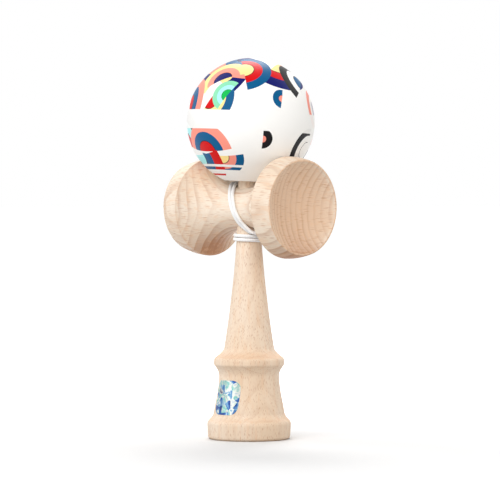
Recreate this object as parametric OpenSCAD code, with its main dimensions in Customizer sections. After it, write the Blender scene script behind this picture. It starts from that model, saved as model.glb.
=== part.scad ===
// Kendama: a turned wooden handle with a spike and a base cup, a cross piece with two cups,
// a drilled ball that sits on the spike, and the string that joins them, wound up as for storage.
// Origin at the middle of the foot, +Z up the handle, +X towards the big cup.

/* [Handle] */
// Radius of the foot
foot_r = 19.8; // [18:0.1:21]
// Height of the straight part of the foot
foot_h = 8.2; // [7:0.1:9]
// Width of the rim round the base cup
foot_rim_w = 3.2; // [2.4:0.1:4.5]
// Depth of the base cup
base_cup_depth = 5.6; // [4.8:0.1:7]
// Radius of the cone above the foot, at its lower end
cone_r = 16.6; // [15.6:0.1:17.4]
// Height of the lower end of the cone
cone_z = 12.9; // [11.5:0.1:15]
// Radius of the waist under the collar
waist_r = 14.2; // [13:0.1:15]
// Height of the waist
waist_z = 30; // [28:0.1:31]
// Radius of the collar
collar_r = 16.6; // [15.6:0.1:18]
// Height of the middle of the collar
collar_z = 36.45; // [35.5:0.05:38]
// Height of the collar's straight edge
collar_h = 2.9; // [1.5:0.1:3.3]
// Radius of the grip at its lower end
grip_r = 11.7; // [11:0.1:13]
// Height of the lower end of the grip
grip_z = 43.3; // [42:0.1:46]
// How far the grip's side is hollowed below a straight taper
grip_hollow = 0.75; // [0:0.05:1.4]
// Radius of the handle where it enters the cross piece
neck_r = 5.6; // [5.3:0.05:5.9]
// Radius of the handle where it leaves the cross piece
spike_r = 5.2; // [4.6:0.05:5.25]
// Radius of the spike's tip
tip_r = 2.7; // [2:0.1:3.4]
// Height of the spike's tip above the ball's middle
tip_rise = 3; // [0:0.5:4]

/* [Cross piece] */
// Height of the cross piece's axis
cross_z = 108.8; // [104:0.2:114]
// Radius of the cross piece at its waist
cross_waist_r = 10.2; // [9.6:0.1:11]
// Length of the straight part of the waist
cross_waist_len = 8; // [6:0.5:10]
// Reach of the big cup from the handle's axis
big_reach = 36.1; // [34:0.1:40]
// Radius of the big cup at its ridge
big_ridge_r = 23.75; // [22.5:0.05:25]
// Distance of the big cup's ridge from the handle's axis
big_ridge_x = 26; // [24.5:0.1:28]
// Radius of the big cup at its mouth
big_mouth_r = 22.4; // [21.5:0.1:23]
// Depth of the big cup
big_cup_depth = 8.2; // [6:0.1:10]
// Reach of the small cup from the handle's axis
small_reach = 37.1; // [34:0.1:40]
// Radius of the small cup at its ridge
small_ridge_r = 23; // [22:0.05:24]
// Distance of the small cup's ridge from the handle's axis
small_ridge_x = 26.5; // [24.5:0.1:28]
// Radius of the small cup at its mouth
small_mouth_r = 21.1; // [20:0.1:22]
// Depth of the small cup
small_cup_depth = 7.2; // [6:0.1:10]
// Width of the rounded rim of both cups
cup_rim_w = 1.4; // [1.2:0.1:2.6]
// How far the cups' outer bands bulge
band_bulge = 0.35; // [0:0.05:0.6]

/* [Ball] */
// Diameter of the ball
ball_d = 60; // [58:0.5:64]
// Radius of the spike hole
hole_r = 8; // [7.8:0.1:8.6]
// Radius of the spike hole's bevelled mouth
mouth_r = 10.9; // [10:0.1:11.6]
// Depth of the bevel
bevel_h = 2.8; // [1.5:0.1:4]
// Height of the spike hole's end above the ball's middle
hole_top = 14.5; // [14.5:0.1:17]
// Lean of the ball on the spike, in degrees
ball_lean = 2.7; // [0:0.1:3]
// Direction in which it leans, from the big cup's side, in degrees
lean_dir = 46; // [0:1:60]
// Sideways shift of the ball in that direction
ball_shift = 0.8; // [0:0.1:1]
// Gap between the ball and the cup ridge that it rests on
ball_seat = 0.25; // [0.2:0.05:0.6]

/* [String] */
// Diameter of the string
string_d = 1.3; // [1.2:0.05:1.5]
// Gap between neighbouring strands
strand_gap = 0.5; // [0.45:0.05:0.6]
// Gap between the string and the wood
string_clear = 0.25; // [0.2:0.05:0.4]
// Radius of the holes that the string runs through
string_hole_r = 1.5; // [1.4:0.05:1.8]
// Radius of the string's knots
knot_r = 2; // [1.8:0.1:2.2]
// Radius of the bead on the string inside the ball
bead_r = 3; // [2.6:0.1:3.6]
// Length of the bead
bead_len = 4.4; // [3.5:0.1:4.6]

/* [Label] */
// Width of the foil label on the cone
label_w = 15; // [8:0.5:18]
// Height of the foil label
label_h = 16; // [8:0.5:17]
// Height of the middle of the label
label_z = 20; // [19:0.5:21]
// Corner radius of the label
label_corner = 4; // [1:0.5:4]
// Thickness of the label
label_t = 0.12; // [0.1:0.01:0.3]

/* [Hidden] */
$fn = 96;

// Rounding of the rims, the foot's taper, and where a dish runs into its rim
foot_round = 1.6;
foot_taper = 0.45;
foot_lip = 0.8;
dish_turn = 200;
lip_steps = 6;
arc_steps = 12;
curve_steps = 14;
// How the cone's side and the coves at the foot and collar bend, and where the tip's round end begins
cone_ease = 1.2;
cove_ease = 1.75;
tip_angle = 6;

// The cross piece's ends on the handle, and the heights that follow from them
neck_z = cross_z - cross_waist_r;
spike_z = cross_z + cross_waist_r;
ball_r = ball_d / 2;

// The ball's middle: as low as the cups' ridges and the waist let it sit
mouth_drop = sqrt(ball_r ^ 2 - mouth_r ^ 2);
shift = ball_shift * [cos(lean_dir), sin(lean_dir)];
function rest_on(ridge_x, ridge_r) =
    let (over = (ball_r + ball_seat) ^ 2 - ridge_x ^ 2)
    over < 0 ? 0 : sqrt((ridge_r + sqrt(over)) ^ 2 - shift[1] ^ 2);
ball_rise = max(
    rest_on(big_ridge_x - shift[0], big_ridge_r),
    rest_on(small_ridge_x + shift[0], small_ridge_r),
    mouth_drop + mouth_r * sin(ball_lean) + cross_at(mouth_r + ball_shift) + ball_seat
);
ball_c = [shift[0], shift[1], cross_z + ball_rise];
tip_z = ball_c[2] + tip_rise;
spike_len = tip_z - spike_z;

// Knot pocket in the handle and string hole in the cross piece, both at the back
knot_gap = 0.3;
pocket_r = knot_r + knot_gap;
pocket_floor = 0.6;
anchor_y = pocket_floor + knot_gap + knot_r;
hole_flare = 1;
fit_gap = 0.05;

// Seat of the string's upper knot in the top of the ball
knot_sunk = 1;
bead_gap = 0.6;
knot_seat_r = knot_r + 2 * knot_gap;
knot_seat_z = ball_r - knot_sunk - 2 * knot_r - knot_gap;
knot_z = knot_seat_z + knot_gap + knot_r;
bead_z = hole_top - bead_gap - bead_len;

// Helpers for outlines: round stretches, coves that run out to a crisp edge, and rounded cups
function arc(x, y, r, from, to, n = arc_steps) =
    [for (i = [0:n]) let (a = from + (to - from) * i / n) [x + r * cos(a), y + r * sin(a)]];
function cove(r0, z0, r1, z1, n = arc_steps) =
    [for (i = [0:n]) let (t = i / n) [r0 + (r1 - r0) * t ^ cove_ease, z0 + (z1 - z0) * t]];
function backwards(outline) = [for (i = [len(outline) - 1:-1:0]) outline[i]];
function dish(edge, depth) =
    let (drop = depth - edge[1])
    let (r = (edge[0] ^ 2 + drop ^ 2) / (2 * drop), half = asin(edge[0] / r))
    [for (i = [0:arc_steps]) let (a = half * i / arc_steps) [r * sin(a), depth - r + r * cos(a)]];
// Outline [radius, distance behind the mouth] of a cup, from its middle to its outer edge
function cup(rim_r, rim_w, lip_in, lip_out, depth) =
    let (lip = arc(rim_r - rim_w + lip_in, lip_in, lip_in, dish_turn, 270, lip_steps))
    concat(dish(lip[0], depth), lip, arc(rim_r - lip_out, lip_out, lip_out, 270, 360, lip_steps));

// Radius of the handle between the grip's lower end and the spike's root
function grip_at(z) =
    let (t = (neck_z - z) / (neck_z - grip_z))
    neck_r + (grip_r - neck_r) * t - 4 * grip_hollow * t * (1 - t);
function taper_at(z) = neck_r + (spike_r - neck_r) * (z - neck_z) / (spike_z - neck_z);
function handle_at(z) = z < neck_z ? grip_at(z) : taper_at(z);

foot_outline = cup(foot_r - foot_taper, foot_rim_w, foot_lip, foot_round, base_cup_depth);
cone_outline = concat(
    backwards(cove(cone_r, cone_z, foot_r, foot_h)),
    [for (i = [1:arc_steps]) let (t = i / arc_steps)
        [cone_r + (waist_r - cone_r) * sin(90 * t) ^ cone_ease, cone_z + (waist_z - cone_z) * t]]
);
collar_outline = concat(
    cove(waist_r, waist_z, collar_r, collar_z - collar_h / 2),
    backwards(cove(grip_r, grip_z, collar_r, collar_z + collar_h / 2))
);
grip_outline = [for (i = [1:curve_steps])
    let (z = grip_z + (neck_z - grip_z) * i / curve_steps) [grip_at(z), z]];
spike_outline = concat([[spike_r, spike_z]], arc(0, tip_z - tip_r, tip_r, tip_angle, 90));

// Outline [radius, distance along the axis] of one half of the cross piece
function flare(ridge_x, ridge_r) =
    let (dx = ridge_x - cross_waist_len / 2, dr = ridge_r - cross_waist_r)
    let (r = (dx ^ 2 + dr ^ 2) / (2 * dr), half = asin(dx / r))
    [for (i = [0:arc_steps]) let (a = half * i / arc_steps)
        [cross_waist_r + r * (1 - cos(a)), cross_waist_len / 2 + r * sin(a)]];
function band(ridge_x, ridge_r, mouth, reach) =
    [for (i = [1:lip_steps - 1]) let (t = i / lip_steps)
        [ridge_r + (mouth - ridge_r) * t + 4 * band_bulge * t * (1 - t),
         ridge_x + (reach - cup_rim_w / 2 - ridge_x) * t]];
function half_outline(ridge_x, ridge_r, mouth, reach, depth) =
    let (open = cup(mouth, cup_rim_w, cup_rim_w / 2, cup_rim_w / 2, depth))
    concat(
        flare(ridge_x, ridge_r),
        band(ridge_x, ridge_r, mouth, reach),
        [for (i = [len(open) - 1:-1:0]) [open[i][0], reach - open[i][1]]]
    );
big_half = half_outline(big_ridge_x, big_ridge_r, big_mouth_r, big_reach, big_cup_depth);
small_half = half_outline(small_ridge_x, small_ridge_r, small_mouth_r, small_reach, small_cup_depth);

// Outline of the handle's hole: the taper, carried past both sides of the waist
past_waist = 1;
handle_hole = [
    [0, neck_z - past_waist], [grip_at(neck_z - past_waist) + fit_gap, neck_z - past_waist],
    [neck_r, neck_z], [spike_r, spike_z], [spike_r, spike_z + past_waist], [0, spike_z + past_waist]
];

// Radius of the cross piece near its waist, at a distance x along its axis
function cross_at(x) =
    let (big = x > 0, ridge_x = big ? big_ridge_x : small_ridge_x)
    let (ridge_r = big ? big_ridge_r : small_ridge_r, past = max(0, abs(x) - cross_waist_len / 2))
    let (dx = ridge_x - cross_waist_len / 2, dr = ridge_r - cross_waist_r)
    let (r = (dx ^ 2 + dr ^ 2) / (2 * dr))
    cross_waist_r + r - sqrt(r ^ 2 - past ^ 2);

// A point given in the leaning ball's own frame
function in_ball(p) =
    let (c = cos(lean_dir), s = sin(lean_dir), u = c * p[0] + s * p[1], v = c * p[1] - s * p[0])
    let (ul = u * cos(ball_lean) + p[2] * sin(ball_lean))
    ball_c + [c * ul - s * v, s * ul + c * v, p[2] * cos(ball_lean) - u * sin(ball_lean)];

// The string's middle line. A place on the handle is [angle, height, layer], a place on the cross
// piece is [distance along it, angle from its top over its front, layer].
pitch = string_d + strand_gap;
off_wood = string_clear + string_d / 2;
function on_handle(p) =
    let (r = handle_at(p[1]) + off_wood + p[2] * pitch) [r * cos(p[0]), r * sin(p[0]), p[1]];
function on_cross(p) =
    let (r = cross_at(p[0]) + off_wood + p[2] * pitch)
    [p[0], -r * sin(p[1]), cross_z + r * cos(p[1])];

// A smooth line through key points, in space or on a surface, with a point between each two keys
points_per_key = 2;
function spline(keys, i, t) =
    let (b = keys[i], c = keys[i + 1])
    let (a = i > 0 ? keys[i - 1] : 2 * b - c, d = i + 2 < len(keys) ? keys[i + 2] : 2 * c - b)
    b + t / 2 * (c - a + t * (2 * a - 5 * b + 4 * c - d + t * (3 * (b - c) + d - a)));
function refined(keys) = concat(
    [for (i = [0:len(keys) - 2]) for (k = [0:points_per_key - 1]) spline(keys, i, k / points_per_key)],
    [keys[len(keys) - 1]]
);
function below_cross(keys) = [for (p = refined(keys)) on_handle([p[0], cross_z - p[1], p[2]])];
function over_cross(keys) = [for (p = refined(keys)) on_cross(p)];

// Out of the string hole at the back, and down behind the turns to the lowest of them
exit_bend = 3.4;
exit_start = cross_waist_r - string_hole_r;
exit_points = concat(
    [for (y = [anchor_y + knot_r / 2, anchor_y + knot_r / 2 + string_d]) [0, y, cross_z]],
    [for (a = [0:18:90]) [0, exit_start + exit_bend * sin(a), cross_z - exit_bend * (1 - cos(a))]]
);
exit_down = [
    [89.5, 6, 2.4], [89, 8.6, 2], [88, 11, 1.55], [86, 12.7, 1.35], [82, 14, 1.2], [74, 15.05, 1],
    [63, 15.75, 0.72], [48, 15.9, 0.36]
];
// Turns round the handle, under the cross piece: two, clockwise from above and rising
turns = 2;
turn_points = 24;
first_turn = 15;
turn_start = 30;
turn_route = [for (i = [0:turns * turn_points])
    let (a = turn_start - 360 * i / turn_points)
    on_handle([a, cross_z - first_turn - pitch * (a + 90) / 360, 0])];
// Twice across the front, up from the handle's right to the left of the spike
first_low = [[14, 11.9, 0], [-5, 11.82, 0], [-25, 11.7, 0], [-44, 11.3, 0]];
first_pass = [
    [2.2, 137, 0], [0.7, 107, 0], [-1.8, 74, 0], [-5.5, 40, 0], [-8.8, 12, 0],
    [-9.4, -12, 0], [-8.3, -38, 0], [-6.6, -64, 0], [-5.1, -90, 0], [-3.8, -114, 0], [-2.7, -131, 0]
];
second_low = [
    [98, 9.1, 0.75], [81, 9.9, 0.72], [62, 10.4, 0.92], [36, 11.2, 1.1], [8, 12.2, 1.15],
    [-18, 12.2, 1.15], [-38, 11.3, 1.15]
];
second_pass = [[4.35, 137, 0], [2.7, 107, 0], [0.25, 74, 0], [-3.25, 40, 0], [-5.5, 22, 0]];
winding_route = concat(
    exit_points, below_cross(exit_down), turn_route, below_cross(first_low),
    over_cross(first_pass), below_cross(second_low), over_cross(second_pass)
);
// From the saddle up beside the spike, over its tip and through the bead to the upper knot
from_saddle = [
    [-6.1, -2.9, 0.8], [-6.5, -1.5, 1.3], [-6.65, -0.2, 2],
    [-6.6, 0.9, 3.1], [-6.45, 1.6, 4.7], [-6.3, 1.9, 7]
];
beside_spike = [[-6.1, 1.9, 0.31], [-5.8, 1.8, 0.45], [-5.4, 1.6, 0.6], [-4.9, 1.4, 0.75]];
over_tip = [[-4.3, 1.2, -3.7], [-3.3, 1, -0.4], [-1.9, 0.9, 1.8], [-0.3, 0.85, 3.6]];
riser_end = knot_z - knot_r / 2;
riser_heights = [
    bead_z - bead_gap, bead_z + bead_len / 2, hole_top + string_hole_r, (hole_top + knot_z) / 2,
    riser_end - string_d, riser_end
];
riser_route = concat(
    [for (p = from_saddle) p + [0, 0, spike_z]],
    [for (p = beside_spike) [p[0], p[1], spike_z + p[2] * spike_len]],
    [for (p = over_tip) p + [0, 0, tip_z]],
    [for (h = riser_heights) in_ball([0, 0, h])]
);
route = concat(winding_route, riser_route);
riser_start = len(winding_route) - 1;

// Rings of the tube, carried along the route without twist
sides = 6;
function unit(v) = v / norm(v);
function along(i) = unit(route[min(i + 1, last_ring)] - route[max(i - 1, 0)]);
function carried(i, n) = unit(n - (n * along(i)) * along(i));
last_ring = len(route) - 1;
normals = [for (i = 0, n = [1, 0, 0]; i <= last_ring; i = i + 1, n = carried(min(i, last_ring), n)) n];
function ring(i) =
    let (u = carried(i, normals[i]), v = cross(along(i), u))
    [for (k = [0:sides - 1]) let (a = 360 * k / sides)
        route[i] + string_d / 2 * (cos(a) * u + sin(a) * v)];

// The least gap of the string to itself, over all points further apart along it than a bend
bend_points = 6;
least_gap = min([for (i = [0:last_ring]) for (j = [i + bend_points:1:last_ring])
    norm(route[i] - route[j])]) - string_d;
steps = [for (i = [1:last_ring]) norm(route[i] - route[i - 1])];
string_length = steps * [for (s = steps) 1];
echo(least_gap_of_string = least_gap, string_length = string_length);

module string_tube(first, last) {
    rings = [for (i = [first:last]) each ring(i)];
    count = last - first;
    walls = [for (i = [0:count - 1]) for (k = [0:sides - 1])
        let (a = i * sides + k, b = i * sides + (k + 1) % sides)
        each [[a, a + sides, b], [b, a + sides, b + sides]]];
    start_cap = [for (k = [1:sides - 2]) [0, k, k + 1]];
    end_cap = [for (k = [1:sides - 2]) [count * sides, count * sides + k + 1, count * sides + k]];
    polyhedron(rings, concat(start_cap, walls, end_cap));
}

// Places its children in the leaning ball's own frame
module on_ball() {
    translate(ball_c) rotate(lean_dir) rotate([0, ball_lean, 0]) rotate(-lean_dir) children();
}

// A tightened knot: a ball with a fuller waist, and the string's end let into its lower side
knot_waist = 0.75;
knot_lobe = 0.4;
module knot() {
    difference() {
        union() {
            sphere(knot_r);
            rotate_extrude() translate([knot_r * knot_waist, 0]) circle(knot_r * knot_lobe);
        }
        translate([0, 0, -2 * knot_r]) cylinder(h = 1.5 * knot_r, r = string_d / 2 + fit_gap);
    }
}

module ken() {
    color("burlywood")
        difference() {
            rotate_extrude()
                polygon(concat(foot_outline, cone_outline, collar_outline, grip_outline, spike_outline));
            translate([0, pocket_floor, cross_z])
                rotate([-90, 0, 0]) cylinder(h = 2 * neck_r, r = pocket_r);
        }
}

module cross_piece() {
    color("wheat")
        difference() {
            translate([0, 0, cross_z])
                rotate([0, 90, 0])
                    rotate_extrude()
                        polygon(concat(
                            [for (i = [len(small_half) - 1:-1:0]) [small_half[i][0], -small_half[i][1]]],
                            big_half
                        ));
            rotate_extrude() polygon(handle_hole);
            translate([0, 0, cross_z]) rotate([-90, 0, 0]) {
                cylinder(h = 2 * cross_waist_r, r = string_hole_r);
                translate([0, 0, cross_waist_r - hole_flare])
                    cylinder(h = 2 * hole_flare, r1 = string_hole_r, r2 = string_hole_r + 2 * hole_flare);
            }
        }
}

module ball() {
    color("white")
        on_ball()
            difference() {
                sphere(ball_r);
                rotate_extrude()
                    polygon([
                        [0, -ball_r - 1], [mouth_r, -ball_r - 1], [mouth_r, -mouth_drop],
                        [hole_r, bevel_h - mouth_drop], [hole_r, hole_top - hole_r / 2],
                        [string_hole_r, hole_top], [string_hole_r, knot_seat_z - 1],
                        [knot_seat_r, knot_seat_z], [knot_seat_r, ball_r + 1], [0, ball_r + 1]
                    ]);
            }
}

module string_winding() {
    color("white") string_tube(0, riser_start);
}

module string_riser() {
    color("white") string_tube(riser_start, last_ring);
}

module string_bead() {
    color("peru")
        on_ball()
            translate([0, 0, bead_z])
                rotate_extrude()
                    polygon(concat(
                        [[string_d / 2 + string_clear, 0]],
                        arc(bead_r - bead_len / 2, bead_len / 2, bead_len / 2, -80, 80),
                        [[string_d / 2 + string_clear, bead_len]]
                    ));
}

module ball_knot() {
    color("white") on_ball() translate([0, 0, knot_z]) knot();
}

module anchor_knot() {
    color("white") translate([0, anchor_y, cross_z]) rotate([90, 0, 0]) knot();
}

module rounded_rectangle(w, h, r) {
    square([w - 2 * r, h], center = true);
    square([w, h - 2 * r], center = true);
    for (x = [-1, 1], y = [-1, 1])
        translate([x * (w / 2 - r), y * (h / 2 - r)]) circle(r);
}

module foil_label() {
    inner = [for (p = cone_outline) if (abs(p[1] - label_z) < label_h) p];
    outer = [for (p = backwards(inner)) p + [label_t, 0]];
    color("lightsteelblue")
        intersection() {
            rotate_extrude() polygon(concat(inner, outer));
            translate([0, 0, label_z]) rotate([90, 0, 0])
                linear_extrude(2 * foot_r) rounded_rectangle(label_w, label_h, label_corner);
        }
}

ken();
cross_piece();
ball();
string_winding();
string_riser();
string_bead();
ball_knot();
anchor_knot();
foil_label();
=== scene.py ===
"""Kendama, dressed: turned beech, a painted ball, the wound string and a foil label."""

import math

import bpy
import numpy as np
from mathutils import Matrix, Vector


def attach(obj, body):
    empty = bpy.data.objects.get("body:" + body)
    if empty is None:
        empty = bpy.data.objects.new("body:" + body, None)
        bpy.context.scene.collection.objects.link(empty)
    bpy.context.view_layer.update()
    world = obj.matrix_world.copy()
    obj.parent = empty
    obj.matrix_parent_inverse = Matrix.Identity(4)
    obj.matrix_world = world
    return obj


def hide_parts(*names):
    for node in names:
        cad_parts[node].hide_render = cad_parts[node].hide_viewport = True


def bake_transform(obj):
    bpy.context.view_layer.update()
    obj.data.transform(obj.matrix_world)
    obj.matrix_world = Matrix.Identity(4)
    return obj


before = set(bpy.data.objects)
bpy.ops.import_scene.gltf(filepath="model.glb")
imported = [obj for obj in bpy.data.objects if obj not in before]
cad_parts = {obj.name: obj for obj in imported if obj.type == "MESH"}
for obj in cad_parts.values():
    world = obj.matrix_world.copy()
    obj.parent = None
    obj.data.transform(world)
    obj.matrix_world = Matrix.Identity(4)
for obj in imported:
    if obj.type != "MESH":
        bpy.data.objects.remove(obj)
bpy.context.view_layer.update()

MM = 0.001

# The sizes of the turned pieces, in millimetres, as in the part's source.
FOOT_R, FOOT_H, FOOT_RIM_W, FOOT_ROUND, FOOT_TAPER = 19.8, 8.2, 3.2, 1.6, 0.45
FOOT_LIP, BASE_CUP_DEPTH = 0.8, 5.6
CONE_R, CONE_Z, CONE_EASE, WAIST_R, WAIST_Z = 16.6, 12.9, 1.2, 14.2, 30
COLLAR_R, COLLAR_Z, COLLAR_H, COVE_EASE = 16.6, 36.45, 2.9, 1.75
GRIP_R, GRIP_Z, GRIP_HOLLOW = 11.7, 43.3, 0.75
NECK_R, SPIKE_R, TIP_R, TIP_RISE = 5.6, 5.2, 2.7, 3.0
CROSS_Z, CROSS_WAIST_R, CROSS_WAIST_LEN = 108.8, 10.2, 8.0
BIG = {"reach": 36.1, "ridge_r": 23.75, "ridge_x": 26.0, "mouth_r": 22.4, "depth": 8.2}
SMALL = {"reach": 37.1, "ridge_r": 23.0, "ridge_x": 26.5, "mouth_r": 21.1, "depth": 7.2}
CUP_RIM_W, BAND_BULGE = 1.4, 0.35
BALL_R, HOLE_R, MOUTH_R, BEVEL_H, HOLE_TOP = 30.0, 8.0, 10.9, 2.8, 14.5
BALL_LEAN, LEAN_DIR, BALL_SHIFT, BALL_SEAT = 2.7, 46.0, 0.8, 0.25
STRING_D, STRAND_GAP, STRING_CLEAR, STRING_HOLE_R, HOLE_FLARE = 1.3, 0.5, 0.25, 1.5, 1.0
KNOT_R, KNOT_GAP, KNOT_SUNK, POCKET_FLOOR = 2.0, 0.3, 1.0, 0.6
BEAD_LEN, BEAD_GAP = 4.4, 0.6
LABEL_W, LABEL_H, LABEL_Z, LABEL_CORNER, LABEL_T = 15.0, 16.0, 20.0, 4.0, 0.12
# Small breaks of the ball's inner edges, and the play of the cutters for the cross piece's hole
MOUTH_BREAK, MOUTH_BREAK_RISE, BEVEL_BREAK, SEAT_SLOPE, SEAT_BREAK = 0.35, 0.06, 0.3, 1.0, 0.15
TAPER_PLAY, GRIP_PLAY, CUT_PAST = 0.05, 0.1, 2.0

NECK_Z = CROSS_Z - CROSS_WAIST_R
SPIKE_Z = CROSS_Z + CROSS_WAIST_R
MOUTH_DROP = math.sqrt(BALL_R**2 - MOUTH_R**2)
KNOT_SEAT_R = KNOT_R + 2 * KNOT_GAP
KNOT_SEAT_Z = BALL_R - KNOT_SUNK - 2 * KNOT_R - KNOT_GAP
KNOT_Z = KNOT_SEAT_Z + KNOT_GAP + KNOT_R
ANCHOR_Y = POCKET_FLOOR + KNOT_GAP + KNOT_R
BEAD_Z = HOLE_TOP - BEAD_GAP - BEAD_LEN

STEPS = 20
LATHE_SIDES = 192
SHARP_EDGE, TUBE_SHARP_EDGE = 35, 60
SAME_POINT = 1e-4


# Outlines [radius, height] of the turned pieces


def arc(x, y, r, start, end, n=STEPS):
    a = np.radians(np.linspace(start, end, n + 1))
    return np.column_stack([x + r * np.cos(a), y + r * np.sin(a)])


def cove(r0, z0, r1, z1):
    t = np.linspace(0, 1, STEPS + 1)
    return np.column_stack([r0 + (r1 - r0) * t**COVE_EASE, z0 + (z1 - z0) * t])


def dish(edge, depth):
    drop = depth - edge[1]
    r = (edge[0] ** 2 + drop**2) / (2 * drop)
    a = np.linspace(0, math.asin(edge[0] / r), STEPS + 1)
    return np.column_stack([r * np.sin(a), depth - r + r * np.cos(a)])


def cup(rim_r, rim_w, lip_in, lip_out, depth):
    """A cup with a rounded rim, from its middle to its outer edge, as [radius, distance behind the mouth]."""
    lip = arc(rim_r - rim_w + lip_in, lip_in, lip_in, 200, 270, 8)
    return np.vstack([dish(lip[0], depth), lip, arc(rim_r - lip_out, lip_out, lip_out, 270, 360, 8)])


def soften(outline, corner, reach):
    """The outline with one corner rounded off, between the places that far from it on either side."""
    i = int(np.argmin(np.linalg.norm(outline - corner, axis=1)))
    away = np.linalg.norm(outline - outline[i], axis=1)
    near = away < reach
    first, last = i, i
    while near[first - 1]:
        first -= 1
    while near[last + 1]:
        last += 1
    ends = []
    for inner, outer in ((first, first - 1), (last, last + 1)):
        share = (reach - away[inner]) / (away[outer] - away[inner])
        ends.append(outline[inner] + (outline[outer] - outline[inner]) * share)
    t = np.linspace(0, 1, 9)[:, None]
    bend = (1 - t) ** 2 * ends[0] + 2 * t * (1 - t) * outline[i] + t**2 * ends[1]
    return np.vstack([outline[:first], bend, outline[last + 1 :]])


def grip_at(z):
    t = (NECK_Z - z) / (NECK_Z - GRIP_Z)
    return NECK_R + (GRIP_R - NECK_R) * t - 4 * GRIP_HOLLOW * t * (1 - t)


def handle_at(z):
    taper = NECK_R + (SPIKE_R - NECK_R) * (z - NECK_Z) / (SPIKE_Z - NECK_Z)
    return grip_at(z) if z < NECK_Z else taper


# Corners of the handle's outline that are rounded, and how far from the corner the rounding starts
SOFT_CORNERS = (
    ((FOOT_R, FOOT_H), 1.5),
    ((COLLAR_R, COLLAR_Z - COLLAR_H / 2), 0.5),
    ((COLLAR_R, COLLAR_Z + COLLAR_H / 2), 1.3),
)


def cone_outline():
    t = np.linspace(0, 1, STEPS + 1)
    side = CONE_R + (WAIST_R - CONE_R) * np.sin(math.pi / 2 * t) ** CONE_EASE
    return np.column_stack([side, CONE_Z + (WAIST_Z - CONE_Z) * t])


def handle_outline():
    z = np.linspace(GRIP_Z, NECK_Z, STEPS + 1)
    outline = np.vstack(
        [
            cup(FOOT_R - FOOT_TAPER, FOOT_RIM_W, FOOT_LIP, FOOT_ROUND, BASE_CUP_DEPTH),
            cove(CONE_R, CONE_Z, FOOT_R, FOOT_H)[::-1],
            cone_outline(),
            cove(WAIST_R, WAIST_Z, COLLAR_R, COLLAR_Z - COLLAR_H / 2),
            cove(GRIP_R, GRIP_Z, COLLAR_R, COLLAR_Z + COLLAR_H / 2)[::-1],
            np.column_stack([grip_at(z), z]),
            [[SPIKE_R, SPIKE_Z]],
            arc(0, TIP_Z - TIP_R, TIP_R, 6, 90),
        ]
    )
    for corner, reach in SOFT_CORNERS:
        outline = soften(outline, corner, reach)
    return outline


def flare_radius(ridge_x, ridge_r):
    dx, dr = ridge_x - CROSS_WAIST_LEN / 2, ridge_r - CROSS_WAIST_R
    return (dx**2 + dr**2) / (2 * dr)


def cross_at(x):
    side = BIG if x > 0 else SMALL
    r = flare_radius(side["ridge_x"], side["ridge_r"])
    past = max(0, abs(x) - CROSS_WAIST_LEN / 2)
    return CROSS_WAIST_R + r - math.sqrt(r**2 - past**2)


def half_outline(ridge_x, ridge_r, mouth_r, reach, depth):
    """One half of the cross piece, from its waist over the ridge into the cup, as [radius, distance]."""
    x = np.linspace(CROSS_WAIST_LEN / 2, ridge_x, 2 * STEPS + 1)
    r = flare_radius(ridge_x, ridge_r)
    flare = CROSS_WAIST_R + r - np.sqrt(r**2 - (x - CROSS_WAIST_LEN / 2) ** 2)
    t = np.linspace(0, 1, 9)[1:-1]
    band = ridge_r + (mouth_r - ridge_r) * t + 4 * BAND_BULGE * t * (1 - t)
    band_x = ridge_x + (reach - CUP_RIM_W / 2 - ridge_x) * t
    mouth = cup(mouth_r, CUP_RIM_W, CUP_RIM_W / 2, CUP_RIM_W / 2, depth)[::-1]
    return np.vstack(
        [
            np.column_stack([flare, x]),
            np.column_stack([band, band_x]),
            np.column_stack([mouth[:, 0], reach - mouth[:, 1]]),
        ]
    )


def cross_outline():
    return np.vstack([half_outline(**SMALL)[::-1] * [1, -1], half_outline(**BIG)])


def ball_outline():
    """A closed outline: over the outside from the knot's seat to the mouth, and back up the hole."""
    top = math.degrees(math.acos(KNOT_SEAT_R / BALL_R))
    low = -math.degrees(math.acos(MOUTH_R / BALL_R))
    return np.vstack(
        [
            arc(0, 0, BALL_R, top, low, 96),
            [[MOUTH_R - MOUTH_BREAK, MOUTH_BREAK_RISE - MOUTH_DROP]],
            [[HOLE_R + BEVEL_BREAK, BEVEL_H - MOUTH_DROP - BEVEL_BREAK]],
            [[HOLE_R, BEVEL_H - MOUTH_DROP + BEVEL_BREAK], [HOLE_R, HOLE_TOP - HOLE_R / 2]],
            [[STRING_HOLE_R, HOLE_TOP], [STRING_HOLE_R, KNOT_SEAT_Z - SEAT_SLOPE], [KNOT_SEAT_R, KNOT_SEAT_Z]],
            [[KNOT_SEAT_R, BALL_R * math.sin(math.radians(top)) - SEAT_BREAK]],
        ]
    )


# Where the ball rests on the cups, and its leaning frame

SHIFT = BALL_SHIFT * np.array([math.cos(math.radians(LEAN_DIR)), math.sin(math.radians(LEAN_DIR))])


def rest_on(ridge_x, ridge_r):
    reach = ridge_r + math.sqrt((BALL_R + BALL_SEAT) ** 2 - ridge_x**2)
    return math.sqrt(reach**2 - SHIFT[1] ** 2)


BALL_RISE = max(
    rest_on(BIG["ridge_x"] - SHIFT[0], BIG["ridge_r"]),
    rest_on(SMALL["ridge_x"] + SHIFT[0], SMALL["ridge_r"]),
    MOUTH_DROP + MOUTH_R * math.sin(math.radians(BALL_LEAN)) + cross_at(MOUTH_R + BALL_SHIFT) + BALL_SEAT,
)
BALL_C = np.array([SHIFT[0], SHIFT[1], CROSS_Z + BALL_RISE])
TIP_Z = BALL_C[2] + TIP_RISE
LEAN = (
    Matrix.Rotation(math.radians(LEAN_DIR), 3, "Z")
    @ Matrix.Rotation(math.radians(BALL_LEAN), 3, "Y")
    @ Matrix.Rotation(math.radians(-LEAN_DIR), 3, "Z")
)


def in_ball(p):
    return BALL_C + np.array(LEAN @ Vector(p))


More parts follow.
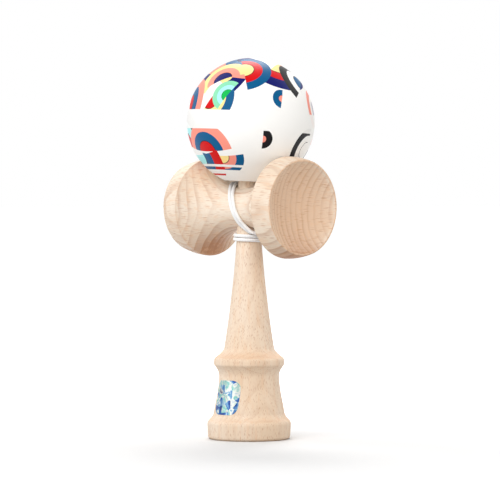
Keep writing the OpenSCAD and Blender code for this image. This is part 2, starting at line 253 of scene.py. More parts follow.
BALL_FRAME = Matrix.Translation(Vector(BALL_C) * MM) @ LEAN.to_4x4()

# The string's middle line, as in the part's source: a place on the handle is [angle, height, layer],
# a place on the cross piece is [distance along it, angle from its top over its front, layer].

PITCH = STRING_D + STRAND_GAP
OFF_WOOD = STRING_CLEAR + STRING_D / 2


def on_handle(angle, height, layer):
    r = handle_at(height) + OFF_WOOD + layer * PITCH
    a = math.radians(angle)
    return np.array([r * math.cos(a), r * math.sin(a), height])


def on_cross(x, angle, layer):
    r = cross_at(x) + OFF_WOOD + layer * PITCH
    a = math.radians(angle)
    return np.array([x, -r * math.sin(a), CROSS_Z + r * math.cos(a)])


def smooth(keys, per_key):
    """A smooth line through key points, with per_key points for each of them."""
    keys = np.array(keys, float)
    ends = np.vstack([2 * keys[0] - keys[1], keys, 2 * keys[-1] - keys[-2]])
    line = []
    for a, b, c, d in zip(ends, ends[1:], ends[2:], ends[3:]):
        for t in np.arange(per_key) / per_key:
            line.append(b + t / 2 * (c - a + t * (2 * a - 5 * b + 4 * c - d + t * (3 * (b - c) + d - a))))
    return np.array(line + [keys[-1]])


def below_cross(keys):
    return [on_handle(angle, CROSS_Z - drop, layer) for angle, drop, layer in smooth(keys, 2)]


def over_cross(keys):
    return [on_cross(*p) for p in smooth(keys, 2)]


# The chosen places along the string, in its order. The two LOW lists and EXIT_DOWN are [angle, drop below the
# cross piece's middle, layer], and the PASS lists are as on_cross takes them. The riser's are [x, y, height]:
# above the spike's root, then as a share of the spike's length, then above its tip.
EXIT_BEND = 3.4
EXIT_DOWN = [
    [89.5, 6, 2.4], [89, 8.6, 2], [88, 11, 1.55], [86, 12.7, 1.35], [82, 14, 1.2], [74, 15.05, 1],
    [63, 15.75, 0.72], [48, 15.9, 0.36],
]  # fmt: skip
TURNS, TURN_POINTS, FIRST_TURN, TURN_START = 2, 24, 15, 30
FIRST_LOW = [[14, 11.9, 0], [-5, 11.82, 0], [-25, 11.7, 0], [-44, 11.3, 0]]
FIRST_PASS = [
    [2.2, 137, 0], [0.7, 107, 0], [-1.8, 74, 0], [-5.5, 40, 0], [-8.8, 12, 0], [-9.4, -12, 0],
    [-8.3, -38, 0], [-6.6, -64, 0], [-5.1, -90, 0], [-3.8, -114, 0], [-2.7, -131, 0],
]  # fmt: skip
SECOND_LOW = [
    [98, 9.1, 0.75], [81, 9.9, 0.72], [62, 10.4, 0.92], [36, 11.2, 1.1], [8, 12.2, 1.15], [-18, 12.2, 1.15],
    [-38, 11.3, 1.15],
]  # fmt: skip
SECOND_PASS = [[4.35, 137, 0], [2.7, 107, 0], [0.25, 74, 0], [-3.25, 40, 0], [-5.5, 22, 0]]
FROM_SADDLE = [
    [-6.1, -2.9, 0.8], [-6.5, -1.5, 1.3], [-6.65, -0.2, 2], [-6.6, 0.9, 3.1], [-6.45, 1.6, 4.7], [-6.3, 1.9, 7],
]  # fmt: skip
BESIDE_SPIKE = [[-6.1, 1.9, 0.31], [-5.8, 1.8, 0.45], [-5.4, 1.6, 0.6], [-4.9, 1.4, 0.75]]
OVER_TIP = [[-4.3, 1.2, -3.7], [-3.3, 1, -0.4], [-1.9, 0.9, 1.8], [-0.3, 0.85, 3.6]]


def exit_points():
    """Straight out of the string hole at the back, then round its edge and down."""
    start = ANCHOR_Y + KNOT_R / 2
    bend_y = CROSS_WAIST_R - STRING_HOLE_R
    a = np.radians(np.arange(0, 91, 18))
    bend = [[0, bend_y + EXIT_BEND * math.sin(v), CROSS_Z - EXIT_BEND * (1 - math.cos(v))] for v in a]
    return [[0, start, CROSS_Z], [0, start + STRING_D, CROSS_Z], *bend]


def turns():
    """Rising turns round the handle, under the cross piece, clockwise from above."""
    points = []
    for i in range(TURNS * TURN_POINTS + 1):
        angle = TURN_START - 360 * i / TURN_POINTS
        points.append(on_handle(angle, CROSS_Z - FIRST_TURN - PITCH * (angle + 90) / 360, 0))
    return points


def winding_route():
    return np.vstack(
        [exit_points(), below_cross(EXIT_DOWN), turns(), below_cross(FIRST_LOW)]
        + [over_cross(FIRST_PASS), below_cross(SECOND_LOW), over_cross(SECOND_PASS)]
    )


def riser_route():
    """From the saddle up beside the spike, over its tip and through the bead to the upper knot."""
    spike_len = TIP_Z - SPIKE_Z
    knot_end = KNOT_Z - KNOT_R / 2
    through_bead = [BEAD_Z - BEAD_GAP, BEAD_Z + BEAD_LEN / 2]
    to_knot = [HOLE_TOP + STRING_HOLE_R, (HOLE_TOP + KNOT_Z) / 2, knot_end - STRING_D, knot_end]
    return np.vstack(
        [
            over_cross(SECOND_PASS)[-1],
            np.array(FROM_SADDLE) + [0, 0, SPIKE_Z],
            [[x, y, SPIKE_Z + share * spike_len] for x, y, share in BESIDE_SPIKE],
            np.array(OVER_TIP) + [0, 0, TIP_Z],
            [in_ball((0, 0, h)) for h in through_bead + to_knot],
        ]
    )


# Meshes


def new_object(name, vertices, faces, sharp=SHARP_EDGE):
    mesh = bpy.data.meshes.new(name)
    mesh.from_pydata([Vector(v) * MM for v in vertices], [], faces)
    mesh.validate()
    mesh.shade_smooth()
    mesh.set_sharp_from_angle(angle=math.radians(sharp))
    made = bpy.data.objects.new(name, mesh)
    bpy.context.scene.collection.objects.link(made)
    return made


def lathe(name, outline, closed=False, sides=LATHE_SIDES):
    """Turns an outline [radius, height] about Z. An open outline starts and ends on the axis."""
    keep = [i for i, p in enumerate(outline) if i == 0 or np.linalg.norm(p - outline[i - 1]) > SAME_POINT]
    outline = outline[keep]
    body = outline if closed else outline[1:-1]
    a = np.linspace(0, 2 * math.pi, sides, endpoint=False)
    vertices = [(r * math.cos(v), r * math.sin(v), z) for r, z in body for v in a]
    pairs = [(i, i + 1) for i in range(len(body) - 1)] + ([(len(body) - 1, 0)] if closed else [])
    faces = []
    for i, j in pairs:
        for k in range(sides):
            n = (k + 1) % sides
            faces.append((i * sides + k, i * sides + n, j * sides + n, j * sides + k))
    if not closed:
        low, high = len(vertices), len(vertices) + 1
        vertices += [(0, 0, outline[0][1]), (0, 0, outline[-1][1])]
        last = (len(body) - 1) * sides
        faces += [(low, (k + 1) % sides, k) for k in range(sides)]
        faces += [(high, last + k, last + (k + 1) % sides) for k in range(sides)]
    return new_object(name, vertices, faces)


def cut(piece, *tools):
    """Cuts the tools out of a piece, and deletes them."""
    for tool in tools:
        change = piece.modifiers.new("cut", "BOOLEAN")
        change.object = tool
        change.solver = "EXACT"
    graph = bpy.context.evaluated_depsgraph_get()
    mesh = bpy.data.meshes.new_from_object(piece.evaluated_get(graph))
    piece.modifiers.clear()
    piece.data = mesh
    mesh.shade_smooth()
    mesh.set_sharp_from_angle(angle=math.radians(SHARP_EDGE))
    for tool in tools:
        bpy.data.objects.remove(tool)


def tube(name, line, diameter, sides=14):
    """A round tube along a line, its rings carried without twist, with a UV map: turns by diameters."""
    line = np.array(line)
    step = np.linalg.norm(np.diff(line, axis=0), axis=1)
    run = np.concatenate([[0], np.cumsum(step)]) / diameter
    tangents = np.gradient(line, axis=0)
    tangents /= np.linalg.norm(tangents, axis=1)[:, None]
    normal = np.array([1.0, 0, 0]) if abs(tangents[0][0]) < 0.9 else np.array([0, 1.0, 0])
    vertices, faces, corners = [], [], []
    a = np.linspace(0, 2 * math.pi, sides, endpoint=False)
    for p, t in zip(line, tangents):
        normal = normal - t * (normal @ t)
        normal /= np.linalg.norm(normal)
        side = np.cross(t, normal)
        vertices += [p + diameter / 2 * (math.cos(v) * normal + math.sin(v) * side) for v in a]
    for i in range(len(line) - 1):
        for k in range(sides):
            n = (k + 1) % sides
            faces.append((i * sides + k, i * sides + n, (i + 1) * sides + n, (i + 1) * sides + k))
            corners.append([(k, i), (k + 1, i), (k + 1, i + 1), (k, i + 1)])
    ends = [tuple(range(sides))[::-1], tuple(range((len(line) - 1) * sides, len(line) * sides))]
    made = new_object(name, vertices, faces + ends, TUBE_SHARP_EDGE)
    layer = made.data.uv_layers.new(name="lay")
    for face, places in zip(made.data.polygons, corners):
        for loop, (k, i) in zip(face.loop_indices, places):
            layer.data[loop].uv = (k / sides, run[i])
    return made


# Materials


class Paint:
    """One node material. Its methods return sockets, and take sockets or plain values."""

    def __init__(self, name):
        self.material = bpy.data.materials.new(name)
        self.material.use_nodes = True
        self.tree = self.material.node_tree
        self.shader = self.tree.nodes["Principled BSDF"]

    def add(self, kind, **settings):
        made = self.tree.nodes.new("ShaderNode" + kind)
        for name, value in settings.items():
            setattr(made, name, value)
        return made

    def put(self, socket, value):
        if isinstance(value, bpy.types.NodeSocket):
            self.tree.links.new(value, socket)
        else:
            socket.default_value = value

    def set(self, **values):
        for name, value in values.items():
            self.put(self.shader.inputs[name.replace("_", " ")], value)

    def place(self, kind="Object", shift=(0, 0, 0), turn=(0, 0, 0), scale=(1, 1, 1)):
        """Coordinates of that kind: shifted, turned in degrees and then scaled."""
        made = self.add("TexCoord").outputs[kind]
        for name, value in (("ADD", shift), ("ROTATE", turn), ("MULTIPLY", scale)):
            if name == "ROTATE":
                step = self.add("VectorRotate", rotation_type="EULER_XYZ")
                step.inputs["Rotation"].default_value = [math.radians(v) for v in value]
                self.put(step.inputs["Vector"], made)
            else:
                step = self.add("VectorMath", operation=name)
                self.put(step.inputs[0], made)
                step.inputs[1].default_value = value
            made = step.outputs[0]
        return made

    def math(self, operation, a, b=0.0, clamp=False):
        step = self.add("Math", operation=operation, use_clamp=clamp)
        self.put(step.inputs[0], a)
        self.put(step.inputs[1], b)
        return step.outputs[0]

    def noise(self, vector, scale=1.0, detail=2.0, distortion=0.0):
        step = self.add("TexNoise")
        self.put(step.inputs["Vector"], vector)
        step.inputs["Scale"].default_value = scale
        step.inputs["Detail"].default_value = detail
        step.inputs["Distortion"].default_value = distortion
        return step.outputs["Fac"]

    def cells(self, vector, scale=1.0, distance="EUCLIDEAN"):
        """The distance to the nearest of scattered points, and that point's random colour."""
        step = self.add("TexVoronoi", distance=distance)
        self.put(step.inputs["Vector"], vector)
        step.inputs["Scale"].default_value = scale
        return step.outputs["Distance"], step.outputs["Color"]

    def span(self, value, low, high, out_low=0.0, out_high=1.0, smoothly=True):
        kind = "SMOOTHSTEP" if smoothly else "LINEAR"
        step = self.add("MapRange", interpolation_type=kind)
        self.put(step.inputs["Value"], value)
        for name, number in zip(("From Min", "From Max", "To Min", "To Max"), (low, high, out_low, out_high)):
            step.inputs[name].default_value = number
        return step.outputs["Result"]

    def split(self, vector):
        step = self.add("SeparateXYZ")
        self.put(step.inputs[0], vector)
        return step.outputs

    def dot(self, vector, direction):
        step = self.add("VectorMath", operation="DOT_PRODUCT")
        self.put(step.inputs[0], vector)
        step.inputs[1].default_value = direction
        return step.outputs["Value"]

    def mix(self, share, a, b, blend="MIX"):
        step = self.add("Mix", data_type="RGBA", blend_type=blend)
        self.put(step.inputs["Factor"], share)
        self.put(step.inputs[6], a)
        self.put(step.inputs[7], b)
        return step.outputs[2]

    def ramp(self, value, stops, interpolation="LINEAR"):
        step = self.add("ValToRGB")
        step.color_ramp.interpolation = interpolation
        points = step.color_ramp.elements
        while len(points) < len(stops):
            points.new(1.0)
        for point, (position, color) in zip(points, stops):
            point.position = position
            point.color = color
        self.put(step.inputs[0], value)
        return step.outputs[0]

    def bump(self, height, distance, strength=1.0):
        step = self.add("Bump")
        self.put(step.inputs["Height"], height)
        step.inputs["Distance"].default_value = distance
        step.inputs["Strength"].default_value = strength
        self.put(self.shader.inputs["Normal"], step.outputs[0])


def rgb(r, g, b):
    """A screen colour, 0 to 255, as the linear colour that a shader takes."""
    linear = [v / 12.92 if v <= 0.04045 else ((v + 0.055) / 1.055) ** 2.4 for v in (r / 255, g / 255, b / 255)]
    return (*linear, 1.0)


HANDLE_TONES = rgb(238, 220, 200), rgb(231, 206, 179)
CROSS_TONES = rgb(239, 225, 208), rgb(232, 212, 190)
# The last of these tones darkens a streak under the cross piece: in part heartwood, in part painted shade.
END_TONE, LATE_TONE, HEART_AND_SHADE_TONE = rgb(224, 186, 153), rgb(184, 132, 92), rgb(172, 114, 74)
STREAK_TONE, FIBRE_TONE, RAY_TONE = rgb(230, 190, 152), rgb(214, 176, 140), rgb(178, 114, 66)
# How dark a growth ring is across its width
RING_SHADES = ((0.0, 0.0), (0.55, 0.12), (0.88, 1.0), (0.94, 0.9), (1.0, 0.0))
RING_WAVE = 7
# End grain shows this far from the middle of the cross piece, inside the cups, and fades in over this length
END_GRAIN, END_FADE = 25.5, 2


def beech(name, tones, turn, pith, ring_w, ring_depth, rays, ray_depth, heart_and_shade=None):
    """Sanded beech: growth rings round the pith, fibres and dark rays along the grain, darker end grain.

    turn brings the grain onto Z, pith is then where the tree's middle line lies, ring_w the rings'
    width, rays the size of the rays along X, Y and Z, and the last argument the middle and the half sizes of a
    darker streak, all in millimetres; that streak is in part heartwood and in part painted shade under the piece. The
    depths say how dark the rings and the rays are, from 0 to 1."""
    paint = Paint(name)
    tone = paint.noise(paint.place(turn=turn, scale=(70, 70, 14)), detail=3)
    color = paint.mix(paint.span(tone, 0.3, 0.7), *tones)
    normal = paint.add("VectorRotate", rotation_type="EULER_XYZ")
    normal.inputs["Rotation"].default_value = [math.radians(v) for v in turn]
    paint.put(normal.inputs["Vector"], paint.add("TexCoord").outputs["Normal"])
    across = paint.math("ABSOLUTE", paint.split(normal.outputs[0])[2])
    x, y, z = paint.split(paint.place(shift=(0, 0, -CROSS_Z * MM), turn=turn))
    ends = paint.span(paint.math("ABSOLUTE", z), END_GRAIN * MM, (END_GRAIN + END_FADE) * MM)
    ends = paint.math("MULTIPLY", ends, paint.span(across, 0.5, 1.0, 0, 0.75))
    color = paint.mix(ends, color, END_TONE)
    x = paint.math("SUBTRACT", x, pith[0] * MM)
    y = paint.math("SUBTRACT", y, pith[1] * MM)
    radius = paint.math("SQRT", paint.math("ADD", paint.math("POWER", x, 2.0), paint.math("POWER", y, 2.0)))
    warp = paint.noise(paint.place(turn=turn, scale=(45, 45, 9)), detail=2)
    wavy = paint.math("ADD", radius, paint.math("MULTIPLY", warp, RING_WAVE * MM))
    ring = paint.math("FRACT", paint.math("DIVIDE", wavy, ring_w * MM))
    late = paint.ramp(ring, [(at, (v, v, v, 1)) for at, v in RING_SHADES])
    strong = paint.span(paint.noise(paint.place(turn=turn, scale=(60, 60, 15)), detail=1), 0.35, 0.65, 0.35, 1)
    late = paint.math("MULTIPLY", paint.math("MULTIPLY", late, strong), ring_depth)
    color = paint.mix(late, color, LATE_TONE)
    # A darker streak: in part heartwood, in part painted shade where the piece's underside lies in shade.
    if heart_and_shade:
        middle, half = heart_and_shade
        off = paint.place(shift=[-v * MM for v in middle], scale=[1 / (v * MM) for v in half])
        away = paint.add("VectorMath", operation="LENGTH")
        paint.put(away.inputs[0], off)
        away = paint.math("SUBTRACT", away.outputs["Value"], paint.math("MULTIPLY", ring, 0.25))
        dark = paint.math("MULTIPLY", paint.span(away, 0.1, 1.0, 0.9, 0), paint.math("SUBTRACT", 1.0, ends))
        color = paint.mix(dark, color, HEART_AND_SHADE_TONE)
    streak = paint.noise(paint.place(turn=turn, scale=(700, 700, 20)), detail=2)
    color = paint.mix(paint.span(streak, 0.48, 0.72, 0, 0.4), color, STREAK_TONE)
    fibre = paint.noise(paint.place(turn=turn, scale=(2600, 2600, 130)), detail=2)
    color = paint.mix(paint.span(fibre, 0.45, 0.8, 0, 0.22), color, FIBRE_TONE)
    near, chance = paint.cells(paint.place(turn=turn, scale=[1000 / size for size in rays]))
    picked = paint.span(paint.split(chance)[0], 0.3, 0.95)
    fleck = paint.math("MULTIPLY", paint.span(near, 0.15, 0.45, 1, 0), picked)
    color = paint.mix(paint.math("MULTIPLY", fleck, ray_depth), color, RAY_TONE)
    paint.set(Base_Color=color, Roughness=paint.span(fibre, 0.3, 0.8, 0.5, 0.62), Specular_IOR_Level=0.3)
    paint.bump(paint.math("SUBTRACT", fibre, paint.math("MULTIPLY", fleck, 0.8)), 0.02 * MM)
    return paint.material


WHITE = rgb(250, 249, 246)
BUTTER, CORAL, TEAL, NAVY = rgb(255, 226, 150), rgb(248, 150, 132), rgb(0, 88, 136), rgb(8, 18, 100)
RED, GREEN, MINT, CYAN = rgb(210, 8, 14), rgb(0, 184, 80), rgb(140, 220, 178), rgb(172, 240, 240)
LILAC, INK = rgb(190, 186, 204), rgb(16, 14, 17)
# Half discs on the ball: azimuth and latitude of the middle, turn and radius in degrees, colours inwards
MOTIFS = [
    (-58, 34, 90, 46, (BUTTER, NAVY, CORAL)),
    (-16, 44, 75, 40, (NAVY, BUTTER, CORAL)),
    (46, 78, 215, 38, (CORAL, TEAL, NAVY)),
    (92, 62, 300, 32, (NAVY, RED, BUTTER)),
    (10, 38, 120, 24, (BUTTER, CORAL, NAVY)),
    (32, 52, 20, 25, (TEAL, RED, BUTTER)),
    (-34, 12, 40, 27, (CORAL, TEAL, RED)),
    (4, 18, 330, 24, (TEAL, BUTTER, RED)),
    (22, 22, 150, 15, (MINT, CYAN, GREEN)),
    (118, 38, 120, 25, (INK, WHITE, TEAL)),
    (76, 21, 165, 9, (TEAL, TEAL, CORAL)),
    (130, 14, 180, 18, (CORAL, WHITE, LILAC)),
    (-40, -26, 90, 34, (INK, CYAN, RED)),
    (-2, -30, 90, 27, (CORAL, TEAL, RED)),
    (14, -34, 270, 22, (TEAL, CORAL, BUTTER)),
    (-26, -34, 270, 32, (RED, TEAL, CYAN)),
    (58, -16, 0, 9, (INK, INK, CORAL)),
    (114, -24, 170, 20, (INK, WHITE, WHITE)),
    (128, -30, 350, 18, (CORAL, WHITE, INK)),
    (158, 34, 330, 28, (CORAL, LILAC, NAVY)),
    (166, -24, 30, 20, (TEAL, WHITE, BUTTER)),
    (196, 52, 120, 32, (TEAL, BUTTER, WHITE)),
    (196, 14, 240, 22, (RED, WHITE, NAVY)),
    (204, -24, 210, 24, (RED, CORAL, WHITE)),
    (236, 24, 40, 28, (BUTTER, TEAL, INK)),
    (262, 52, 280, 28, (CORAL, NAVY, WHITE)),
    (250, -28, 140, 24, (CYAN, TEAL, WHITE)),
    (280, 16, 80, 24, (GREEN, WHITE, NAVY)),
    (290, -26, 320, 26, (BUTTER, CORAL, INK)),
]
# Where the line and the outer colours of a half disc start, as shares of its radius
MOTIF_LINE, MOTIF_MIDDLE, MOTIF_OUTER = 0.36, 0.39, 0.68
# The band at the ball's equator and the white stripes below it, by the sine of their latitudes
BAND_HALF, BAND_OPACITY = 0.148, 0.92
PINSTRIPES = ((-0.725, -0.69), (-0.83, -0.77), (-1.1, -0.857))


def ball_paint():
    """Gloss white with half discs in bright colours, a pale equator band and pinstripes."""
    paint = Paint("painted_ball")
    where = paint.place(scale=(1 / (BALL_R * MM),) * 3)
    height = paint.split(where)[2]
    color = WHITE
    for azimuth, latitude, turn, radius, colors in MOTIFS:
        middle = Matrix.Rotation(math.radians(azimuth), 3, "Z") @ Matrix.Rotation(math.radians(-latitude), 3, "X")
        away = paint.math("ARCCOSINE", paint.dot(where, middle @ Vector((0, -1, 0))))
        share = paint.math("DIVIDE", away, math.radians(radius))
        outer, ring, core = colors
        stops = [(0.0, core), (MOTIF_LINE, INK), (MOTIF_MIDDLE, ring), (MOTIF_OUTER, outer)]
        bands = paint.ramp(share, stops, "CONSTANT")
        facing = middle @ Vector((math.cos(math.radians(turn)), 0, math.sin(math.radians(turn))))
        half = paint.math("GREATER_THAN", paint.dot(where, facing), 0.0)
        inside = paint.math("MULTIPLY", half, paint.math("LESS_THAN", share, 1.0))
        color = paint.mix(inside, color, bands)
    band = paint.math("LESS_THAN", paint.math("ABSOLUTE", height), BAND_HALF)
    color = paint.mix(paint.math("MULTIPLY", band, BAND_OPACITY), color, WHITE)
    for low, high in PINSTRIPES:
        above, below = paint.math("GREATER_THAN", height, low), paint.math("LESS_THAN", height, high)
        color = paint.mix(paint.math("MULTIPLY", above, below), color, WHITE)
    paint.set(Base_Color=color, Roughness=0.4, Specular_IOR_Level=0.12)
    return paint.material


BRAID_STRANDS, BRAID_LAY = 4, 7.0


def braid():
    """White braided string: lozenges in two crossing directions."""
    paint = Paint("braided_string")
    u, v, _ = paint.split(paint.place("UV"))
    turn = paint.math("MULTIPLY", u, BRAID_STRANDS * 2 * math.pi)
    lay = paint.math("MULTIPLY", v, BRAID_LAY)
    right = paint.math("SINE", paint.math("ADD", turn, lay))
    left = paint.math("SINE", paint.math("SUBTRACT", turn, lay))
    raised = paint.math("MULTIPLY", right, left)
    # The grooves between the lozenges are a little darker: painted shade in the recesses.
    color = paint.mix(paint.span(raised, -0.8, 0.2), rgb(240, 240, 241), rgb(252, 252, 252))
    paint.set(Base_Color=color, Roughness=0.75, Specular_IOR_Level=0.25, Sheen_Weight=0.2)
    paint.set(Subsurface_Weight=0.6, Subsurface_Scale=0.8 * MM, Subsurface_Radius=(1, 1, 1))
    paint.bump(raised, 0.06 * MM)
    return paint.material


def foil():
    """Iridescent foil: facets in blues, teal and white."""
    paint = Paint("iridescent_foil")
    where = paint.place(scale=(1000, 1000, 1000))
    facet, tint = paint.cells(where, 0.32)
    drift = paint.noise(where, 0.16, 2.0, 1.2)
    shade = paint.math("ADD", paint.math("MULTIPLY", paint.split(tint)[0], 0.35), paint.math("MULTIPLY", drift, 0.75))
    stops = [
        (0.25, rgb(14, 20, 84)), (0.4, rgb(30, 84, 160)), (0.49, rgb(110, 160, 192)), (0.56, rgb(228, 226, 216)),
        (0.66, rgb(96, 176, 172)), (0.74, rgb(204, 204, 196)), (0.85, rgb(24, 40, 96)),
    ]  # fmt: skip
    paint.set(Base_Color=paint.ramp(shade, stops), Metallic=0.35, Roughness=0.22)
    paint.bump(facet, 0.05 * MM)
    return paint.material


def plain_wood():
    paint = Paint("turned_bead")
    tone = paint.noise(paint.place(scale=(900, 900, 250)), detail=3)
    paint.set(Base_Color=paint.mix(tone, rgb(226, 190, 150), rgb(198, 152, 110)), Roughness=0.5)
    return paint.material


def dress(piece, material, body, slot, *nodes):
    """Gives a piece its material and body, and lets it stand for CAD nodes. The slot argument is not used."""
    piece.data.materials.clear()
    piece.data.materials.append(material)
    if body:
        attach(piece, body)
    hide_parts(*nodes)


# The camera, fitted to the photograph

CAMERA_AZIMUTH, CAMERA_DISTANCE, CAMERA_HEIGHT, AIM_HEIGHT = math.radians(46.2), 1.4, 0.1146, 0.0888
camera = bpy.data.objects.new("camera", bpy.data.cameras.new("camera"))
bpy.context.scene.collection.objects.link(camera)
camera.location = (
    CAMERA_DISTANCE * math.sin(CAMERA_AZIMUTH),
    -CAMERA_DISTANCE * math.cos(CAMERA_AZIMUTH),
    CAMERA_HEIGHT,
)
camera.rotation_euler = (Vector((0, 0, AIM_HEIGHT)) - camera.location).to_track_quat("-Z", "Y").to_euler()
camera.data.sensor_width = 36
camera.data.lens = 214.4
camera.data.shift_x = 0.0018
bpy.context.scene.camera = camera

# The string: its winding stays on the handle, and its riser follows the ball

string = braid()
LINE_POINTS = 4
FULL_STRING_D = 1.6  # the strands touch in the photograph, so they are fuller than the solid ones
KNOT_SCALE, KNOT_TALL, KNOT_STRAND_D, KNOT_SIDES = 0.2 * KNOT_R, 1.3, 0.86 * STRING_D, 12


def knot(name, place, body, node):
    """A tightened overhand knot of the string."""
    t = np.linspace(0, 2 * math.pi, 73)
    x = np.sin(t) + 2 * np.sin(2 * t)
    y = np.cos(t) - 2 * np.cos(2 * t)
    z = -np.sin(3 * t)
    piece = tube(name, np.column_stack([x, y, z * KNOT_TALL]) * KNOT_SCALE, KNOT_STRAND_D, KNOT_SIDES)
    piece.matrix_world = place
    dress(piece, string, body, "string", node)
    return piece


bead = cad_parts["string_bead"]
bead.data.materials.clear()
bead.data.materials.append(plain_wood())
ball_knot = knot("knot_in_ball", BALL_FRAME @ Matrix.Translation((0, 0, KNOT_Z * MM)), "string_end", "ball_knot")
anchor_place = Matrix.Translation((0, ANCHOR_Y * MM, CROSS_Z * MM)) @ Matrix.Rotation(math.radians(90), 4, "X")
anchor_knot = knot("knot_in_handle", anchor_place, "handle", "anchor_knot")

winding_line = smooth(winding_route(), LINE_POINTS)
winding = tube("string_on_handle", winding_line, FULL_STRING_D)
dress(winding, string, "handle", "string", "string_winding")

riser_line = smooth(riser_route(), LINE_POINTS)
riser = tube("string_to_ball", riser_line, FULL_STRING_D)
dress(riser, string, None, "string", "string_riser")
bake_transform(riser)

# The turned pieces

handle = lathe("handle", handle_outline())
handle_wood = beech(
    "beech_handle",
    HANDLE_TONES,
    turn=(0, 0, 0),
    pith=(-44, 11),
    ring_w=2.2,
    ring_depth=0.16,
    rays=(0.33, 0.33, 2.3),
    ray_depth=0.72,
)
dress(handle, handle_wood, "handle", "beech", "ken")

cross = lathe("cross", cross_outline())
cross.data.transform(Matrix.Translation((0, 0, CROSS_Z * MM)) @ Matrix.Rotation(math.radians(90), 4, "Y"))
hole = lathe(
    "hole",
    np.array(
        [
            [0, NECK_Z - CUT_PAST],
            [grip_at(NECK_Z - CUT_PAST) + GRIP_PLAY, NECK_Z - CUT_PAST],
            [NECK_R + TAPER_PLAY, NECK_Z],
            [SPIKE_R + TAPER_PLAY, SPIKE_Z],
            [SPIKE_R + TAPER_PLAY, SPIKE_Z + CUT_PAST],
            [0, SPIKE_Z + CUT_PAST],
        ]
    ),
)
string_hole = lathe(
    "string_hole",
    np.array(
        [
            [0, 0],
            [STRING_HOLE_R, 0],
            [STRING_HOLE_R, CROSS_WAIST_R - HOLE_FLARE],
            [STRING_HOLE_R + 2 * HOLE_FLARE, CROSS_WAIST_R + HOLE_FLARE],
            [0, CROSS_WAIST_R + HOLE_FLARE],
        ]
    ),
    sides=48,
)
string_hole.data.transform(Matrix.Translation((0, 0, CROSS_Z * MM)) @ Matrix.Rotation(math.radians(-90), 4, "X"))
cut(cross, hole, string_hole)
cross_wood = beech(
    "beech_cross",
    CROSS_TONES,
    turn=(0, -90, 0),
    pith=(6, 80),
    ring_w=3.4,
    ring_depth=0.42,
    rays=(0.36, 4.5, 4.5),
    ray_depth=0.6,
    # A darker streak along the cross piece's underside: in part heartwood, in part painted shade.
    heart_and_shade=((0, 0, CROSS_Z - 22), (200, 16.5, 16.5)),
)
dress(cross, cross_wood, "handle", "beech", "cross_piece")

ball = lathe("painted_ball", ball_outline(), closed=True)
ball.matrix_world = BALL_FRAME
dress(ball, ball_paint(), "ball", "painted_ball", "ball")


# The label, laid on the cone


def label_edge(n=16):
    """The label's outline, a rounded rectangle [across, up] about its middle."""
    corners = []
    for i, (sx, sy) in enumerate(((1, 1), (-1, 1), (-1, -1), (1, -1))):
        x, y = sx * (LABEL_W / 2 - LABEL_CORNER), sy * (LABEL_H / 2 - LABEL_CORNER)
        corners.append(arc(x, y, LABEL_CORNER, 90 * i, 90 * i + 90, n))
    edge = np.vstack([*corners, corners[0][:1]])
    run = np.concatenate([[0], np.cumsum(np.linalg.norm(np.diff(edge, axis=0), axis=1))])
    places = np.linspace(0, run[-1], 12 * n, endpoint=False)
    return np.column_stack([np.interp(places, run, edge[:, 0]), np.interp(places, run, edge[:, 1])])


def label(rings=14):
    outline = np.vstack([cove(CONE_R, CONE_Z, FOOT_R, FOOT_H)[::-1], cone_outline()[1:]])
    edge = label_edge()
    vertices, faces = [], []

    def on_cone(x, up, lift):
        z = LABEL_Z + up
        r = np.interp(z, outline[:, 1], outline[:, 0]) + lift
        return x, -math.sqrt(r**2 - x**2), z

    for share in np.linspace(1, 0, rings, endpoint=False)[::-1]:
        vertices += [on_cone(*(p * share), LABEL_T) for p in edge]
    vertices += [on_cone(*p, 0.0) for p in edge]
    n = len(edge)
    for i in range(rings):
        for k in range(n):
            faces.append((i * n + k, (i + 1) * n + k, (i + 1) * n + (k + 1) % n, i * n + (k + 1) % n))
    faces.append(tuple(range(n)))
    return new_object("label", vertices, faces)


dress(label(), foil(), "handle", "foil", "foil_label")

# The stage: a white floor that keeps the shadow in front of the foot and glows away from it, and soft lamps all round

# Metres: the middle of the shadow before the foot, and where the floor's glow starts and is full
SHADE_FRONT, SHADE_R, WHITE_R = 0.09, 0.09, 0.3
FLOOR_HALF = 20000
FLOOR_BOUNCE, FLOOR_SEEN, FLOOR_GLOW = (0.5, 0.5, 0.5, 1), (0.785, 0.785, 0.785, 1), 0.8
SKY_LIGHT, SKY_SEEN = 0.34, 1.0


def seen_rays(tree):
    """1 for what the camera sees, also in reflections and through glass, and 0 for light that bounces."""
    rays = tree.nodes.new("ShaderNodeLightPath").outputs
    seen = rays["Is Camera Ray"]
    for kind in ("Is Glossy Ray", "Is Transmission Ray"):
        total = tree.nodes.new("ShaderNodeMath")
        total.use_clamp = True
        tree.links.new(seen, total.inputs[0])
        tree.links.new(rays[kind], total.inputs[1])
        seen = total.outputs[0]
    return seen


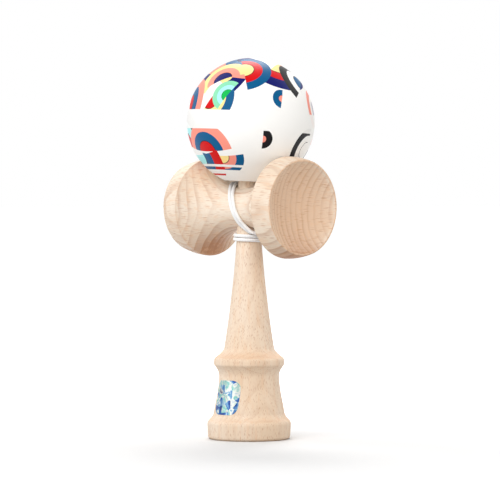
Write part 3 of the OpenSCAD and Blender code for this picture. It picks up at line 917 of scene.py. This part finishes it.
def floor_material():
    paint = Paint("floor")
    seen = seen_rays(paint.tree)
    paint.set(Base_Color=paint.mix(seen, FLOOR_BOUNCE, FLOOR_SEEN), Roughness=0.9, Specular_IOR_Level=0.0)
    shift = -SHADE_FRONT * math.sin(CAMERA_AZIMUTH), SHADE_FRONT * math.cos(CAMERA_AZIMUTH), 0
    away = paint.add("VectorMath", operation="LENGTH")
    paint.put(away.inputs[0], paint.place(shift=shift))
    white = paint.span(away.outputs["Value"], SHADE_R, WHITE_R, 0.0, FLOOR_GLOW)
    glow = paint.add("Emission")
    paint.put(glow.inputs["Strength"], paint.math("MULTIPLY", seen, white))
    both = paint.add("AddShader")
    paint.put(both.inputs[0], paint.shader.outputs[0])
    paint.put(both.inputs[1], glow.outputs[0])
    paint.put(paint.tree.nodes["Material Output"].inputs["Surface"], both.outputs[0])
    return paint.material


corners = [(x * FLOOR_HALF, y * FLOOR_HALF, 0) for x, y in ((-1, -1), (1, -1), (1, 1), (-1, 1))]
floor = new_object("floor", corners, [(0, 1, 2, 3)])
floor.data.materials.append(floor_material())

world = bpy.data.worlds.new("studio")
bpy.context.scene.world = world
world.use_nodes = True
sky = world.node_tree.nodes["Background"]
sky.inputs["Color"].default_value = (1, 1, 1, 1)
level = world.node_tree.nodes.new("ShaderNodeMapRange")
level.inputs["To Min"].default_value = SKY_LIGHT
level.inputs["To Max"].default_value = SKY_SEEN
world.node_tree.links.new(seen_rays(world.node_tree), level.inputs["Value"])
world.node_tree.links.new(level.outputs["Result"], sky.inputs["Strength"])

LAMP_DISTANCE, LAMP_AIM = 1.2, Vector((0, 0, 0.09))
NEUTRAL, WARM = (1, 1, 1), (1, 0.96, 0.91)


def lamp(name, azimuth, elevation, size, watts, color):
    """An area lamp that looks at the object, placed by its direction from the camera's side."""
    a, e = CAMERA_AZIMUTH + math.radians(azimuth), math.radians(elevation)
    away = Vector((math.sin(a) * math.cos(e), -math.cos(a) * math.cos(e), math.sin(e)))
    light = bpy.data.objects.new(name, bpy.data.lights.new(name, "AREA"))
    light.data.shape = "DISK"
    light.data.size = size
    light.data.energy = watts
    light.data.color = color
    light.location = LAMP_AIM + away * LAMP_DISTANCE
    light.rotation_euler = (-away).to_track_quat("-Z", "Y").to_euler()
    bpy.context.scene.collection.objects.link(light)


lamp("key", -34, 40, 1.0, 7.1, NEUTRAL)
lamp("left", -74, 10, 1.0, 2.8, NEUTRAL)
lamp("front", -5, 22, 0.6, 3.7, NEUTRAL)
lamp("right", 70, 15, 0.6, 3.2, WARM)
lamp("back_left", -120, 40, 0.6, 1.9, NEUTRAL)
lamp("back_right", 120, 40, 0.6, 1.9, NEUTRAL)
lamp("behind", 180, 52, 0.6, 7.4, NEUTRAL)

bpy.context.scene.view_settings.view_transform = "Standard"
